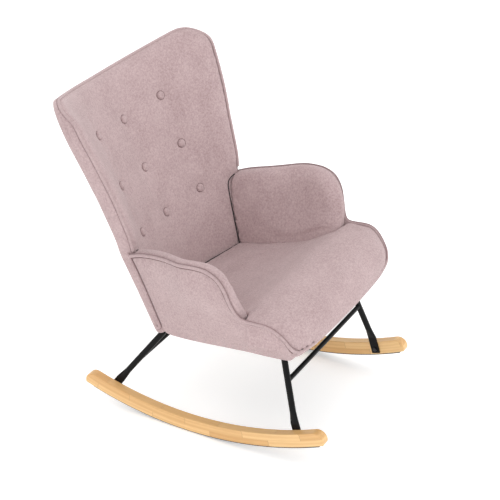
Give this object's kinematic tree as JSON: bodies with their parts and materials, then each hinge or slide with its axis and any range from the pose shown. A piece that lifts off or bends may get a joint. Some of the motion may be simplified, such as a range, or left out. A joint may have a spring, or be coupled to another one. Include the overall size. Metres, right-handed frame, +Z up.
{
  "type": "upholstered rocking chair",
  "caption": "Wing-back rocking chair with button-tufted back, padded low arms and piped seams, on black tubular steel legs bolted to bowed wooden runners.",
  "frame": {"origin": "on the floor in the middle of the footprint, below the point where the two runners touch it", "axes": "+Z up; the sitter faces -Y; +X is the sitter's left; the chair is mirror-symmetric about X = 0"},
  "size_m": [0.7208, 0.9035, 0.9714],
  "materials": {
    "strip_rubber": "matt black anti-slip strip",
    "runner_wood": "clear satin varnish on light finger-jointed staves",
    "zinc_steel": "blackened and zinc-plated fasteners",
    "black_steel": "semi-gloss black powder coat",
    "rail_timber": "raw sawn softwood",
    "plywood": "raw sanded plywood",
    "webbing": "woven elastic webbing",
    "foam": "open-cell polyurethane foam",
    "dust_cloth": "thin black non-woven cloth",
    "piping_fabric": "upholstery fabric over piping cord",
    "twine": "waxed nylon twine",
    "toggle_plastic": "moulded plastic toggle",
    "upholstery": "dusty-pink short-nap velour"
  },
  "bodies": {
    "root": {"arm_board_left": "plywood", "arm_board_right": "plywood", "arm_foam_left": "foam", "arm_foam_right": "foam", "arm_inner_cover_left": "upholstery", "arm_inner_cover_right": "upholstery", "arm_outer_panel_left": "upholstery", "arm_outer_panel_right": "upholstery", "arm_piping_left": "piping_fabric", "arm_piping_right": "piping_fabric", "back_bolts": "zinc_steel", "back_buttons": "upholstery", "back_foam": "foam", "back_inner_cover": "upholstery", "back_inserts": "zinc_steel", "back_outer_cover": "upholstery", "back_piping": "piping_fabric", "back_rib_low": "plywood", "back_rib_mid": "plywood", "back_rib_top": "plywood", "back_webbing": "webbing", "button_ties": "twine", "button_toggles": "toggle_plastic", "dust_cover": "dust_cloth", "front_band": "upholstery", "front_crossbar": "black_steel", "front_leg_left": "black_steel", "front_leg_plate_left": "black_steel", "front_leg_plate_right": "black_steel", "front_leg_right": "black_steel", "front_piping": "piping_fabric", "leg_bolt_inserts": "zinc_steel", "leg_bolts": "zinc_steel", "rear_crossbar": "black_steel", "rear_leg_left": "black_steel", "rear_leg_plate_left": "black_steel", "rear_leg_plate_right": "black_steel", "rear_leg_right": "black_steel", "runner_bolts": "zinc_steel", "runner_inserts": "zinc_steel", "runner_left": "runner_wood", "runner_right": "runner_wood", "runner_strip_left": "strip_rubber", "runner_strip_right": "strip_rubber", "seat_cover": "upholstery", "seat_foam": "foam", "seat_front_board": "rail_timber", "seat_rail_front": "rail_timber", "seat_rail_left": "rail_timber", "seat_rail_rear": "rail_timber", "seat_rail_right": "rail_timber", "seat_webbing_cross": "webbing", "seat_webbing_long": "webbing", "wing_board_left": "plywood", "wing_board_right": "plywood"}
  },
  "joints": []
}
